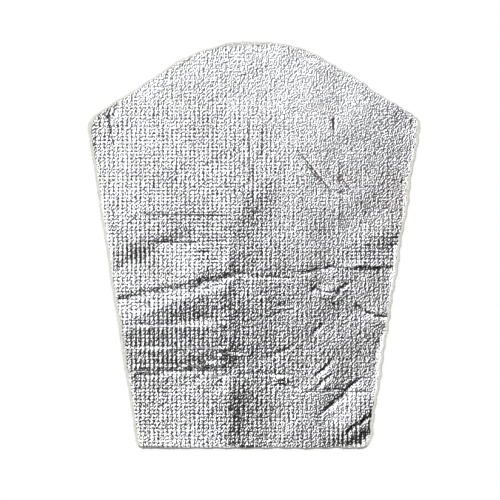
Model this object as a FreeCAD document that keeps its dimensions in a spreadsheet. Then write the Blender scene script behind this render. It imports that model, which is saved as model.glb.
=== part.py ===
"""Heat shield: a blank of foil-faced woven glass cloth, tapered, with a domed end.

The sheet lies flat with its foil up. +X runs across the blank, +Y towards the domed
end and +Z out of the foil. The origin is under the middle of the blank, on its back.
"""
import FreeCAD
import Part
import Sketcher
import math
import os

Vector = FreeCAD.Vector

# Driving sizes: alias, value in millimetres or degrees, and what it measures
SIZES = (
    ("shield_height", 204.0, "base edge to crown"),
    ("base_width", 116.5, "base edge between its sharp corners"),
    ("side_taper", 8.8, "degrees that each side leans out from upright"),
    ("flank_fall", 32.4, "degrees that each flank falls from the crown to its shoulder"),
    ("crown_radius", 75.0, "arc of the domed end"),
    ("shoulder_round_left", 8.0, "worn left shoulder"),
    ("shoulder_round_right", 2.0, "right shoulder"),
    ("base_round_left", 4.0, "left corner of the base"),
    ("base_round_right", 7.0, "right corner of the base"),
    ("cloth_thickness", 1.6, "glass cloth under the foil"),
    ("cloth_edge_round", 0.6, "soft cut edge of the cloth, top and bottom"),
    ("foil_margin", 1.4, "bare rim of cloth round the foil"),
    ("foil_corner_least", 0.5, "least round on a foil corner"),
    ("foil_worn_round", 16.0, "foil lost at the left shoulder"),
    ("foil_web", 0.15, "foil between the cloth and the bottom of the valleys"),
    ("rib_height", 0.3, "thread ribs over the valleys between them"),
    ("rib_pitch", 2.25, "from one warp thread to the next"),
    ("rib_land", 0.35, "flat on the crown of a rib"),
    ("fold_width", 5.0, "foot of a raised fold"),
    ("fold_rise", 0.4, "raised fold over the ribs"),
    ("crease_width", 1.5, "mouth of a sharp crease"),
    ("crease_depth", 0.28, "sharp crease under the crown of the ribs"),
    ("cut_clearance", 1.0, "how far a cutter stands over the face it cuts"),
)

# Routes over the face, as shares: across the half width at that height, and up the height
RAISED_FOLDS = {
    "left_arch": ((-0.90, 0.45), (-0.68, 0.52), (-0.36, 0.51)),
    "left_long_fold": ((-0.96, 0.365), (-0.52, 0.40), (-0.19, 0.42)),
    "left_low_fold": ((-0.94, 0.30), (-0.23, 0.305)),
    "left_step": ((-0.96, 0.175), (-0.63, 0.205), (-0.44, 0.205)),
    "corner_fold": ((0.78, 0.045), (0.85, 0.065), (0.95, 0.075)),
}
SHARP_CREASES = {
    "shoulder_crease": ((-0.81, 0.86), (-0.85, 0.80), (-0.86, 0.75)),
    "upper_score": ((-0.02, 0.80), (0.0, 0.59)),
    "upper_diagonal": ((0.27, 0.735), (0.495, 0.635), (0.62, 0.63)),
    "middle_fold": ((-0.09, 0.56), (-0.135, -0.01)),
    "cross_fold": ((0.0, 0.42), (0.27, 0.415), (0.50, 0.445), (0.98, 0.445)),
    "right_squiggle": ((0.42, 0.385), (0.57, 0.385), (0.65, 0.405)),
    "blister_crease": ((0.76, 0.35), (0.96, 0.325)),
    "low_diagonal": ((0.10, 0.225), (0.29, 0.25)),
    "low_line": ((0.0, 0.185), (0.25, 0.185)),
    "low_right_line": ((0.39, 0.14), (0.96, 0.14)),
    "right_diagonal": ((0.495, 0.185), (0.60, 0.215)),
}

# Side of a rib from its crown to the valley, as shares of the half groove and of the rib's height
LEFT_SLOPE = ((-1, 0), (-0.5, 0.3), (0, 1))

# Expressions shared by both pieces
TAPER = "Sizes.side_taper * 1 deg"
FALL = "Sizes.flank_fall * 1 deg"
HALF_HEIGHT = "Sizes.shield_height / 2"
RIB_CROWN = "(Sizes.cloth_thickness + Sizes.foil_web + Sizes.rib_height)"
HALF_GROOVE = "(Sizes.rib_pitch - Sizes.rib_land) / 2"
GREATEST_WIDTH = f"(Sizes.base_width + 2 * Sizes.shield_height * tan({TAPER}))"
RIB_COUNT = f"(2 * ceil({GREATEST_WIDTH} / Sizes.rib_pitch / 2) + 1)"
FIRST_VALLEY = f"{RIB_COUNT} * Sizes.rib_pitch / 2"

START = 1
END = 2
CENTRE = 3
ORIGIN = (-1, 1)
UPRIGHT_AXIS = -2


def make_sheet(document):
    """Put the driving sizes into a spreadsheet, one alias for each."""
    sheet = document.addObject("Spreadsheet::Sheet", "Sizes")
    for row, (alias, value, meaning) in enumerate(SIZES, start=1):
        sheet.set(f"A{row}", meaning)
        sheet.set(f"B{row}", str(value))
        sheet.setAlias(f"B{row}", alias)
    document.recompute()
    return sheet


def attach(body, name, role):
    """A sketch on one of the body's own origin planes."""
    sketch = body.newObject("Sketcher::SketchObject", name)
    plane = next(item for item in body.Origin.OriginFeatures if item.Role == role)
    sketch.AttachmentSupport = [(plane, "")]
    sketch.MapMode = "FlatFace"
    return sketch


def measure(sketch, kind, place, expression, value):
    """A named dimension of a sketch, bound to the sizes."""
    index = sketch.addConstraint(Sketcher.Constraint(kind, *place, value))
    sketch.setExpression(f"Constraints[{index}]", expression)


def join(sketch, first, second):
    sketch.addConstraint(Sketcher.Constraint("Coincident", *first, *second))


def place_at(corner):
    """Where a corner given by two expressions lies at the present sizes."""
    across, up = [float(sheet.evalExpression(text)) for text in corner]
    return Vector(across, up, 0)


def draw_run(sketch, corners, closed):
    """Straight stretches from corner to corner, each corner dimensioned from the origin."""
    places = [place_at(corner) for corner in corners]
    targets = places[1:] + places[:1] if closed else places[1:]
    sides = [sketch.addGeometry(Part.LineSegment(start, end)) for start, end in zip(places, targets)]
    for before, after in zip(sides, sides[1:] + sides[:1] if closed else sides[1:]):
        join(sketch, (before, END), (after, START))
    ends = [(side, START) for side in sides] + [(sides[-1], END)]
    for end, place, (across, up) in zip(ends, places, corners):
        measure(sketch, "DistanceX", (*ORIGIN, *end), across, place.x)
        measure(sketch, "DistanceY", (*ORIGIN, *end), up, place.y)


def draw_blank(body, name, inset):
    """The tapered blank with a domed end, set in from the cut edge by `inset`."""
    sketch = attach(body, name, "XY_Plane")
    height, base = sheet.shield_height, sheet.base_width
    taper, fall = math.radians(sheet.side_taper), math.radians(sheet.flank_fall)
    radius = sheet.crown_radius
    middle = Vector(0, height / 2 - radius, 0)
    rise = (radius - base / 2 * math.sin(fall) + (height - radius) * math.cos(fall)) / (
        math.tan(taper) * math.sin(fall) + math.cos(fall))
    foot = Vector(base / 2, -height / 2, 0)
    shoulder = Vector(base / 2 + rise * math.tan(taper), rise - height / 2, 0)
    spring = middle + Vector(math.sin(fall), math.cos(fall), 0) * radius

    def mirror(point):
        return Vector(-point.x, point.y, 0)

    lines = ((mirror(foot), foot), (foot, shoulder), (shoulder, spring),
             (mirror(spring), mirror(shoulder)), (mirror(shoulder), mirror(foot)))
    floor, right_side, right_flank, left_flank, left_side = [
        sketch.addGeometry(Part.LineSegment(start, end)) for start, end in lines]
    circle = Part.Circle(middle, Vector(0, 0, 1), radius)
    crown = sketch.addGeometry(Part.ArcOfCircle(circle, math.pi / 2 - fall, math.pi / 2 + fall))

    join(sketch, (floor, END), (right_side, START))
    join(sketch, (right_side, END), (right_flank, START))
    join(sketch, (left_flank, END), (left_side, START))
    join(sketch, (left_side, END), (floor, START))
    sketch.addConstraint(Sketcher.Constraint("Tangent", right_flank, END, crown, START))
    sketch.addConstraint(Sketcher.Constraint("Tangent", left_flank, START, crown, END))
    sketch.addConstraint(Sketcher.Constraint("Horizontal", floor))
    sketch.addConstraint(Sketcher.Constraint("PointOnObject", crown, CENTRE, UPRIGHT_AXIS))

    half_floor = f"Sizes.base_width / 2 + {inset} * (tan({TAPER}) - 1 / cos({TAPER}))"
    measure(sketch, "DistanceX", (*ORIGIN, floor, END), half_floor, foot.x)
    measure(sketch, "DistanceX", (floor, START, *ORIGIN), half_floor, foot.x)
    measure(sketch, "DistanceY", (floor, START, *ORIGIN), f"{HALF_HEIGHT} - {inset}", height / 2)
    measure(sketch, "DistanceY", (*ORIGIN, crown, CENTRE), f"{HALF_HEIGHT} - Sizes.crown_radius", middle.y)
    measure(sketch, "Radius", (crown,), f"Sizes.crown_radius - {inset}", radius)
    measure(sketch, "Angle", (right_side,), f"90 deg - {TAPER}", math.pi / 2 - taper)
    measure(sketch, "Angle", (left_side,), f"{TAPER} - 90 deg", taper - math.pi / 2)
    measure(sketch, "Angle", (right_flank,), f"180 deg - {FALL}", math.pi - fall)
    measure(sketch, "Angle", (left_flank,), f"{FALL} - 180 deg", fall - math.pi)
    return sketch


def pad(body, name, sketch, length):
    feature = body.newObject("PartDesign::Pad", name)
    feature.Profile = sketch
    feature.setExpression("Length", length)
    document.recompute()
    return feature


def fillet(body, name, base, edges, radius):
    feature = body.newObject("PartDesign::Fillet", name)
    feature.Base = (base, edges)
    feature.setExpression("Radius", radius)
    document.recompute()
    return feature


def upright_edge(shape, towards):
    """The name of the upright edge that lies furthest in one direction."""
    upright = []
    for number, edge in enumerate(shape.Edges, start=1):
        low, high = edge.Vertexes[0].Point, edge.Vertexes[-1].Point
        if (high - low).cross(Vector(0, 0, 1)).Length < 1e-6:
            upright.append((low.dot(towards), f"Edge{number}"))
    return max(upright)[1]


def round_corners(body, feature, radii):
    """Round the four corners of a padded blank, each to its own radius."""
    for corner, (towards, radius) in radii.items():
        edge = upright_edge(feature.Shape, towards)
        feature = fillet(body, f"{body.Name}_{corner}", feature, [edge], radius)
    return feature


LEFT_SHOULDER = Vector(-1, 0, 0)
RIGHT_SHOULDER = Vector(1, 0, 0)
LEFT_FOOT = Vector(-1, -2, 0)
RIGHT_FOOT = Vector(1, -2, 0)


def make_cloth():
    """The woven glass cloth: the whole blank, with a soft cut edge."""
    body = document.addObject("PartDesign::Body", "glass_cloth")
    blank = pad(body, "cloth_blank", draw_blank(body, "cloth_outline", "0"), "Sizes.cloth_thickness")
    cut = round_corners(body, blank, {
        "left_shoulder": (LEFT_SHOULDER, "Sizes.shoulder_round_left"),
        "right_shoulder": (RIGHT_SHOULDER, "Sizes.shoulder_round_right"),
        "left_foot": (LEFT_FOOT, "Sizes.base_round_left"),
        "right_foot": (RIGHT_FOOT, "Sizes.base_round_right"),
    })
    rim = [f"Edge{number}" for number, edge in enumerate(cut.Shape.Edges, start=1)
           if edge.BoundBox.ZLength < 1e-6]
    fillet(body, "soft_edge", cut, rim, "min(Sizes.cloth_edge_round; 0.45 * Sizes.cloth_thickness)")
    return body


def draw_valley(body):
    """The valley between two rounded thread ribs, at the left end of the row."""
    sketch = attach(body, "valley_profile", "XZ_Plane")
    right_slope = [(-across, down) for across, down in reversed(LEFT_SLOPE[:-1])]
    corners = [(across, f"{RIB_CROWN} - {down} * Sizes.rib_height") for across, down in [*LEFT_SLOPE, *right_slope]]
    lid = f"{RIB_CROWN} + Sizes.cut_clearance"
    corners += [(1, lid), (-1, lid)]
    draw_run(sketch, [(f"{across} * {HALF_GROOVE} - {FIRST_VALLEY}", level) for across, level in corners], True)
    return sketch


def raise_ribs(body):
    """Cut the valleys between the warp threads, which leaves a row of rounded ribs."""
    profile = draw_valley(body)
    valley = body.newObject("PartDesign::Pocket", "valley")
    valley.Profile = profile
    valley.Type = "ThroughAll"
    valley.SideType = "Symmetric"
    row = body.newObject("PartDesign::LinearPattern", "valleys")
    row.Originals = [valley]
    row.Direction = (profile, ["H_Axis"])
    row.setExpression("Occurrences", f"{RIB_COUNT} + 1")
    row.setExpression("Length", f"2 * {FIRST_VALLEY}")
    body.Tip = row
    document.recompute()
    return row


def draw_route(name, shares):
    """A run of straight stretches over the face, at the crown of the ribs."""
    sketch = document.addObject("Sketcher::SketchObject", f"{name}_route")
    sketch.setExpression("Placement.Base.z", RIB_CROWN)
    corners = []
    for across, up in shares:
        half_width = f"(Sizes.base_width / 2 + {up} * Sizes.shield_height * tan({TAPER}))"
        corners.append((f"{across} * {half_width}", f"{up} * Sizes.shield_height - {HALF_HEIGHT}"))
    draw_run(sketch, corners, False)
    document.recompute()
    return sketch


def draw_section(name, route, half_width, foot, tip):
    """A three-cornered section across the start of a route: a foot line and a tip."""
    sketch = document.addObject("Sketcher::SketchObject", f"{name}_section")
    sketch.AttachmentSupport = [(route, "Edge1")]
    sketch.MapMode = "NormalToEdge"
    draw_run(sketch, [(f"-{half_width}", foot), ("0", tip), (half_width, foot)], True)
    return sketch


def sweep_routes(routes, half_width, foot, tip):
    """Carry one section along each of the routes."""
    sweeps = []
    for name, shares in routes.items():
        route = draw_route(name, shares)
        sweep = document.addObject("Part::Sweep", name)
        sweep.Sections = [draw_section(name, route, half_width, foot, tip)]
        sweep.Spine = (route, [f"Edge{number}" for number in range(1, len(shares))])
        sweep.Transition = "Right corner"
        sweep.Solid = True
        sweeps.append(sweep)
    return sweeps


def make_foil():
    """The bonded foil: embossed by the threads, then folded and creased."""
    body = document.addObject("PartDesign::Body", "embossed_foil")
    outline = draw_blank(body, "foil_outline", "Sizes.foil_margin")
    outline.setExpression("AttachmentOffset.Base.z", "Sizes.cloth_thickness")
    blank = pad(body, "foil_blank", outline, "Sizes.foil_web + Sizes.rib_height")
    round_corners(body, blank, {
        "left_shoulder": (LEFT_SHOULDER, "Sizes.foil_worn_round"),
        "right_shoulder": (RIGHT_SHOULDER, inner_round("shoulder_round_right")),
        "left_foot": (LEFT_FOOT, inner_round("base_round_left")),
        "right_foot": (RIGHT_FOOT, inner_round("base_round_right")),
    })
    raise_ribs(body)

    folds = sweep_routes(
        RAISED_FOLDS, "Sizes.fold_width / 2", "-Sizes.rib_height - Sizes.foil_web / 2", "Sizes.fold_rise")
    folded = document.addObject("Part::MultiFuse", "folded_foil")
    folded.Shapes = [body] + folds

    spread = "(Sizes.crease_depth + Sizes.cut_clearance) / Sizes.crease_depth"
    creases = document.addObject("Part::Compound", "creases")
    creases.Links = sweep_routes(
        SHARP_CREASES, f"Sizes.crease_width / 2 * {spread}", "Sizes.cut_clearance", "-Sizes.crease_depth")
    foil = document.addObject("Part::Cut", "foil_face")
    foil.Base = folded
    foil.Tool = creases
    document.recompute()
    return foil


def inner_round(alias):
    """A foil corner that keeps the rim even round a corner of the cloth."""
    return f"max(Sizes.{alias} - Sizes.foil_margin; Sizes.foil_corner_least)"


def check(parts):
    """Stop if anything failed to build or any piece isn't one sound solid."""
    for item in document.Objects:
        if {"Invalid", "Error"} & set(item.State):
            raise RuntimeError(f"{item.Label} did not build: {item.State}")
    for piece in parts:
        shape = piece.Shape
        if shape.isNull() or not shape.isValid() or len(shape.Solids) != 1:
            raise RuntimeError(f"{piece.Label} is not one sound solid")


document = FreeCAD.newDocument("heat_shield")
sheet = make_sheet(document)
pieces = [make_cloth(), make_foil()]
document.recompute()
check(pieces)
os.makedirs("parts", exist_ok=True)
for piece in pieces:
    piece.Label = piece.Name
    piece.Shape.exportStep(f"parts/{piece.Label}.step")
    box = piece.Shape.BoundBox
    print(piece.Label, f"{piece.Shape.Volume:.1f} mm3", len(piece.Shape.Faces), "faces", box)
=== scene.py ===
# %% [markdown]
# # A heat shield of foil-faced glass cloth
# The object is a flat sheet for an engine bay: heavy woven glass cloth with aluminium foil bonded to one
# side. The foil takes the print of the threads below it and every crease of handling, so the look of the
# part is almost all in its relief. The CAD model gives the frame, the outline and the thickness; Blender
# adds the relief, the soft cut edge and the two finishes, in the same metres and the same place.

# %% Load the frame
from math import cos, hypot, pi, radians, sin

import bpy
import numpy as np
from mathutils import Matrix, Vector


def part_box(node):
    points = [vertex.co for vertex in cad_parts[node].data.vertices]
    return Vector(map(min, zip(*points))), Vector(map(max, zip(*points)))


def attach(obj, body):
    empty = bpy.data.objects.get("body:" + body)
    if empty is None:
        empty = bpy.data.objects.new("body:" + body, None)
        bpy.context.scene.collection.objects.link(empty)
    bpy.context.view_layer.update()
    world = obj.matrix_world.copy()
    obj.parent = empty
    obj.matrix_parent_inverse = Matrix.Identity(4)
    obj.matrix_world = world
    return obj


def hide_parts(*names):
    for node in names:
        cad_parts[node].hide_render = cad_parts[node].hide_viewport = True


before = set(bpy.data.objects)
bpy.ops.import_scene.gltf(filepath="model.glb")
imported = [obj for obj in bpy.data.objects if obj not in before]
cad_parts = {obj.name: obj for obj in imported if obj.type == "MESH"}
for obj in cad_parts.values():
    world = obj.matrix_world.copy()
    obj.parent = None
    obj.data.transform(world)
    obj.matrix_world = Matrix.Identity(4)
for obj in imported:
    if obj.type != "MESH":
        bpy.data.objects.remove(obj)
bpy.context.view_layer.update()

# %% [markdown]
# ## The outline
# The blank was cut along a template: a straight base, two sides that spread upwards, and a domed end whose
# flanks run tangent to the crown. It could be drawn as a curve, but both layers need to know how far any
# point lies from the cut, so the outline is kept as five straight edges with rounded corners between them.
# The crown is then only the largest of the five corner roundings.

# %% Sizes of the blank
MM = 0.001
HEIGHT = 204.0
BASE_WIDTH = 116.5
SIDE_TAPER = radians(8.8)
FLANK_FALL = radians(32.4)
CROWN_RADIUS = 75.0
CLOTH_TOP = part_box("glass_cloth")[1][2] / MM
EDGES = ("base", "right side", "right flank", "left flank", "left side")
FACING = {
    "base": -pi / 2,
    "right side": -SIDE_TAPER,
    "right flank": pi / 2 - FLANK_FALL,
    "left flank": pi / 2 + FLANK_FALL,
    "left side": pi + SIDE_TAPER,
}
crown_middle = HEIGHT / 2 - CROWN_RADIUS
side_reach = BASE_WIDTH / 2 * cos(SIDE_TAPER) + HEIGHT / 2 * sin(SIDE_TAPER)
flank_reach = CROWN_RADIUS + crown_middle * cos(FLANK_FALL)
REACH = {
    "base": HEIGHT / 2,
    "right side": side_reach,
    "right flank": flank_reach,
    "left flank": flank_reach,
    "left side": side_reach,
}
print("cloth top at", round(CLOTH_TOP, 3), "mm; edges reach", {k: round(v, 1) for k, v in REACH.items()})


# %% Distance from the cut edge
def outline(margins, roundings):
    """Gives a function for the distance outside the blank, and the way out, at any points."""
    ways = [np.array((cos(FACING[name]), sin(FACING[name]))) for name in EDGES]
    reaches = [REACH[name] - margins[name] for name in EDGES]
    rounds = []
    for k, radius in enumerate(roundings):
        first, second = ways[k], ways[(k + 1) % len(EDGES)]
        corner = np.linalg.solve(np.array((first, second)), (reaches[k], reaches[(k + 1) % len(EDGES)]))
        middle = corner - (first + second) * radius / (1 + first @ second)
        rounds.append((middle, radius, first, second))

    def measure(x, y):
        gaps = np.array([way[0] * x + way[1] * y - reach for way, reach in zip(ways, reaches)])
        nearest = gaps.argmax(axis=0)
        distance = gaps.max(axis=0)
        out_x = np.array(ways)[nearest, 0]
        out_y = np.array(ways)[nearest, 1]
        for middle, radius, first, second in rounds:
            from_x, from_y = x - middle[0], y - middle[1]
            turned = first[0] * from_y - first[1] * from_x
            still = from_x * second[1] - from_y * second[0]
            inside = (turned >= 0) & (still >= 0)
            length = np.maximum(np.hypot(from_x, from_y), 1e-9)
            distance = np.where(inside, length - radius, distance)
            out_x = np.where(inside, from_x / length, out_x)
            out_y = np.where(inside, from_y / length, out_y)
        return distance, out_x, out_y

    return measure


# The roundings stand after the base, the right side, the right flank, the left flank and the left side.
CLOTH_ROUNDS = (7, 2, CROWN_RADIUS, 8, 4)
cut_edge = outline({name: 0 for name in EDGES}, CLOTH_ROUNDS)
FOIL_MARGINS = {"base": 0.9, "right side": 1.6, "right flank": 0.7, "left flank": 1.0, "left side": 1.5}
FOIL_ROUNDS = (6, 2, CROWN_RADIUS - 1, 12, 3)
foil_edge = outline(FOIL_MARGINS, FOIL_ROUNDS)


def waver(x, y, size):
    """A slow unevenness of the cut, in millimetres, the same each run."""
    slow = np.sin(0.21 * x + 0.4) + np.sin(0.17 * y + 1.9)
    quick = np.sin(0.63 * x - 0.31 * y + 0.7) + np.sin(0.83 * y + 0.23 * x)
    return size * (0.3 * slow + (0.3 + 0.2 * np.clip(x / 60, -1, 1)) * quick)


probe = cut_edge(np.array((0.0, 0.0)), np.array((HEIGHT / 2, -HEIGHT / 2)))[0]
print("crown and base lie", np.round(probe, 4), "mm from the outline")

# %% [markdown]
# ## The folds
# The sheet has been rolled, packed and unrolled, so the foil carries ridges, steps, grooves, two small
# blisters and broad slopes. Cloth simulation gives folds, but not these folds, so each one is laid along
# the route that it takes in the photograph, half a millimetre to the pixel. A fold has a crest line
# and two sides of its own width: a steep side catches the light as a thin line, and a long side lies as a
# shaded band.

# %% How a fold is laid
MIDDLE_SEEN = (253.5, 245.0)
PIXELS_PER_MM = 2


def spot(across, down):
    """A place on the sheet, in millimetres, from where it is seen in the photograph."""
    return (across - MIDDLE_SEEN[0]) / PIXELS_PER_MM, (MIDDLE_SEEN[1] - down) / PIXELS_PER_MM


def beside(route, x, y):
    """Signed distance from a route, positive on its left, and the share of the route passed."""
    points = np.array([spot(*place) for place in route])
    runs = np.hypot(*np.diff(points, axis=0).T)
    best = np.full(np.shape(x), np.inf)
    side = np.ones(np.shape(x))
    share = np.zeros(np.shape(x))
    passed = 0.0
    for start, end, run in zip(points[:-1], points[1:], runs):
        way = (end - start) / run
        from_x, from_y = x - start[0], y - start[1]
        along = np.clip(from_x * way[0] + from_y * way[1], 0, run)
        gap = np.hypot(from_x - along * way[0], from_y - along * way[1])
        nearer = gap < best
        best = np.where(nearer, gap, best)
        side = np.where(nearer, np.where(way[0] * from_y - way[1] * from_x >= 0, 1, -1), side)
        share = np.where(nearer, (passed + along) / runs.sum(), share)
        passed += run
    return best * side, share


def fold(x, y, route, rise, left, right, fade=0.2, power=1.5):
    """Height of one fold, whose sides reach the flat at left and right millimetres from its crest."""
    gap, share = beside(route, x, y)
    reach = np.where(gap >= 0, gap / left, -gap / right)
    ends = np.clip(np.minimum(share, 1 - share) / fade, 0, 1)
    return rise * ends * ends * (3 - 2 * ends) * np.maximum(0, 1 - reach) ** power


print("the middle of the picture lies at", spot(250, 250), "mm")

# %% Ridges and steps
# Each row is a route, a rise, and the widths of its left and right sides as one walks along it.
RIDGES = (
    (((229, 140), (230, 250), (229, 330), (228, 400), (229, 520)), 0.86, 26.0, 200.0),
    (((229, 235), (229, 350), (229, 410), (231, 500)), 0.6, 8.0, 110.0),
    (((214, 355), (230, 354), (246, 356)), 0.24, 0.6, 3.0),
    (((160, 348), (176, 346), (196, 347)), 0.2, 0.5, 2.0),
    (((178, 367), (190, 365), (203, 363)), 0.3, 0.6, 2.4),
    (((127, 377), (138, 372), (161, 371)), 0.34, 0.7, 2.6),
    (((338, 152), (339, 200), (338, 244)), 0.16, 0.8, 0.9),
    (((274, 380), (284, 378), (294, 382)), 0.4, 1.6, 1.0),
    (((196, 381), (208, 376), (224, 379)), 0.3, 1.6, 4.0),
    (((250, 268), (300, 264), (352, 258)), 0.1, 2.4, 2.6),
    (((338, 269), (357, 267), (372, 267), (386, 265), (400, 268)), 0.38, 4.5, 0.7),
)
# A step is a fold whose sides are plain slopes: a long one that lies in shade and a short bright one.
STEPS = (
    (((108, 328), (140, 314), (170, 303), (200, 294), (229, 289)), 0.8, 2.2, 11.0),
    (((118, 330), (165, 326), (228, 325)), 0.75, 1.0, 11.0),
    (((120, 352), (165, 348), (230, 349)), 0.75, 1.0, 11.0),
    (((124, 368), (185, 365), (230, 364)), 0.5, 0.8, 7.0),
)
print(len(RIDGES), "ridges and", len(STEPS), "steps")

# %% Grooves
# The rows are as above, with a depth in place of the rise.
GROOVES = (
    (((119, 94), (112, 106), (109, 117), (112, 128)), 0.7, 1.0, 1.4),
    (((119, 96), (117, 108), (112, 118)), 0.6, 0.9, 1.0),
    (((111, 118), (112, 134), (117, 150)), 0.5, 0.9, 1.2),
    (((84, 292), (122, 266), (140, 254), (160, 243), (180, 238), (206, 244)), 0.55, 4.2, 30.0),
    (((156, 243), (184, 239), (204, 246), (232, 260)), 0.42, 2.6, 22.0),
    (((86, 310), (113, 303), (150, 293), (180, 288), (220, 280), (254, 271)), 0.85, 3.2, 1.6),
    (((130, 377), (190, 371), (238, 376)), 1.0, 7.0, 2.0),
    (((225, 379), (233, 387), (242, 393)), 0.34, 1.1, 1.0),
    (((250, 116), (249, 140), (251, 162)), 0.2, 0.6, 0.6),
    (((253, 162), (254, 190), (252, 216)), 0.22, 0.6, 0.6),
    (((263, 125), (264, 142), (262, 159)), 0.16, 0.6, 0.6),
    (((293, 146), (309, 163), (320, 177), (333, 192), (354, 197)), 0.5, 1.0, 1.0),
    (((302, 148), (315, 163), (329, 180)), 0.3, 0.8, 0.8),
    (((334, 117), (334, 132)), 0.4, 0.8, 0.8),
    (((413, 114), (412, 129)), 0.3, 0.7, 0.7),
    (((397, 105), (412, 119)), 0.3, 0.7, 0.7),
    (((305, 56), (318, 60), (331, 66)), 0.34, 0.8, 0.8),
    (((232, 273), (258, 276), (276, 277), (300, 280)), 0.42, 0.8, 2.2),
    (((132, 243), (160, 242), (186, 243), (212, 241)), 0.28, 0.8, 1.4),
    (((300, 274), (316, 270), (336, 266)), 0.4, 0.8, 1.8),
    (((368, 239), (384, 240), (401, 238)), 0.36, 0.7, 0.6),
    (((364, 246), (384, 247), (401, 245)), 0.42, 0.7, 0.6),
    (((366, 252), (386, 253), (400, 251)), 0.36, 0.7, 0.6),
    (((353, 303), (364, 311), (374, 315), (390, 319)), 0.5, 1.0, 2.6),
    (((310, 294), (316, 286), (323, 292), (338, 293)), 0.5, 0.8, 1.4),
    (((335, 298), (340, 289), (350, 282)), 0.42, 0.7, 1.4),
    (((312, 335), (324, 323)), 0.36, 0.7, 1.6),
    (((262, 360), (278, 353), (288, 349), (296, 344)), 0.28, 0.8, 1.6),
    (((234, 374), (262, 373), (292, 375)), 0.34, 0.9, 1.2),
    (((275, 384), (287, 385), (299, 390)), 0.55, 0.9, 1.1),
    (((313, 377), (322, 371), (335, 357)), 0.36, 0.7, 2.0),
    (((315, 391), (322, 382), (333, 374)), 0.34, 0.7, 2.0),
    (((324, 412), (335, 400), (343, 396), (348, 388), (356, 381), (366, 376)), 0.34, 0.7, 4.0),
    (((316, 419), (326, 409), (337, 402)), 0.22, 0.8, 2.0),
    (((298, 391), (336, 390), (378, 392)), 0.3, 0.8, 1.4),
    (((338, 439), (347, 434), (352, 427), (361, 424), (366, 418), (378, 414)), 0.42, 1.0, 3.0),
    (((258, 299), (275, 306), (302, 304)), 0.26, 1.0, 1.4),
    (((192, 356), (200, 359), (209, 363)), 0.5, 1.0, 1.2),
    (((196, 366), (206, 362), (218, 359)), 0.5, 1.0, 1.2),
    (((184, 369), (196, 368), (206, 371)), 0.46, 1.2, 0.9),
    (((206, 367), (214, 369), (222, 374)), 0.4, 1.0, 0.9),
    (((188, 362), (180, 367), (172, 371)), 0.36, 0.9, 1.2),
    (((212, 354), (232, 352), (246, 353)), 0.34, 0.7, 0.6),
    (((266, 319), (282, 312), (299, 308)), 0.24, 0.9, 1.2),
)
print(len(GROOVES), "grooves")

# %% Blisters and slopes
# A blister is a small round swelling: its middle, its reach across and up, and its rise.
BLISTERS = (
    ((372, 290), (10, 10), 0.25),
    ((208, 384), (6, 4), 0.3),
)
# Each slope leans a broad part of the sheet: its middle, its reach, and its rise across and up.
SLOPES = (
    ((180, 340), (32, 22), -0.02, 0.03),
    ((180, 408), (26, 15), 0.015, -0.03),
    ((180, 444), (24, 14), 0.03, -0.09),
    ((164, 420), (16, 10), 0.02, -0.03),
    ((288, 447), (26, 16), 0.01, -0.05),
    ((282, 420), (10, 10), 0.03, -0.04),
    ((258, 205), (10, 14), -0.012, 0.018),
    ((350, 442), (18, 12), -0.06, 0.13),
    ((366, 436), (12, 14), -0.06, 0.06),
    ((352, 350), (18, 16), -0.02, 0.02),
    ((272, 306), (20, 12), -0.02, 0.02),
    ((302, 336), (14, 14), -0.02, 0.02),
    ((336, 402), (12, 16), -0.02, 0.03),
    ((254, 370), (10, 14), -0.03, 0.01),
    ((323, 290), (5, 3), 0.06, -0.1),
    ((276, 326), (40, 40), -0.024, 0.018),
    ((388, 248), (12, 10), -0.03, 0.08),
    ((285, 108), (34, 28), 0.012, -0.012),
    ((322, 180), (13, 36), -0.03, 0.0),
    ((138, 165), (22, 22), 0.03, -0.03),
    ((372, 180), (18, 40), -0.02, 0.0),
    ((216, 276), (12, 9), -0.06, 0.1),
    ((380, 302), (8, 8), 0.03, -0.05),
    ((316, 412), (14, 12), -0.03, 0.04),
    ((322, 426), (10, 9), -0.02, 0.03),
    ((262, 400), (12, 16), 0.03, 0.0),
    ((340, 240), (8, 8), 0.02, -0.03),
    ((330, 120), (14, 10), 0.02, -0.03),
    ((258, 180), (8, 8), 0.02, -0.02),
    ((218, 221), (9, 8), 0.03, -0.04),
    ((128, 290), (16, 11), -0.04, 0.06),
    ((194, 266), (22, 9), -0.03, 0.05),
    ((226, 384), (10, 8), 0.03, -0.05),
    ((340, 302), (9, 9), -0.03, 0.04),
    ((358, 212), (12, 12), -0.03, 0.02),
    ((212, 358), (16, 9), -0.04, 0.06),
    ((190, 310), (24, 12), -0.05, 0.06),
    ((248, 225), (10, 22), -0.02, 0.0),
)
print(len(BLISTERS), "blisters and", len(SLOPES), "slopes")

# %% All the folds together
BILLOWS = 14
BILLOW_SEED = 7
BILLOW_RISE = 0.0007
STEP_FADE = 0.08


def lean(x, y, middle, reach, across, upwards):
    """A soft local slope that dies away to nothing round it."""
    from_x, from_y = x - spot(*middle)[0], y - spot(*middle)[1]
    near = np.exp(-((from_x / reach[0]) ** 2) - (from_y / reach[1]) ** 2)
    return near * (across * from_x + upwards * from_y)


def billows(x, y, count, seed):
    """Shallow waves all over the sheet, of many lengths and ways."""
    draw = np.random.default_rng(seed)
    lengths = draw.uniform(9, 34, count)
    turns = draw.uniform(0, pi, count)
    starts = draw.uniform(0, 6, count)
    height = np.zeros(np.shape(x))
    for length, turn, start in zip(lengths, turns, starts):
        along = x * cos(turn) + y * sin(turn)
        height = height + length * BILLOW_RISE * np.sin(along * 2 * pi / length + start)
    return height


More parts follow.
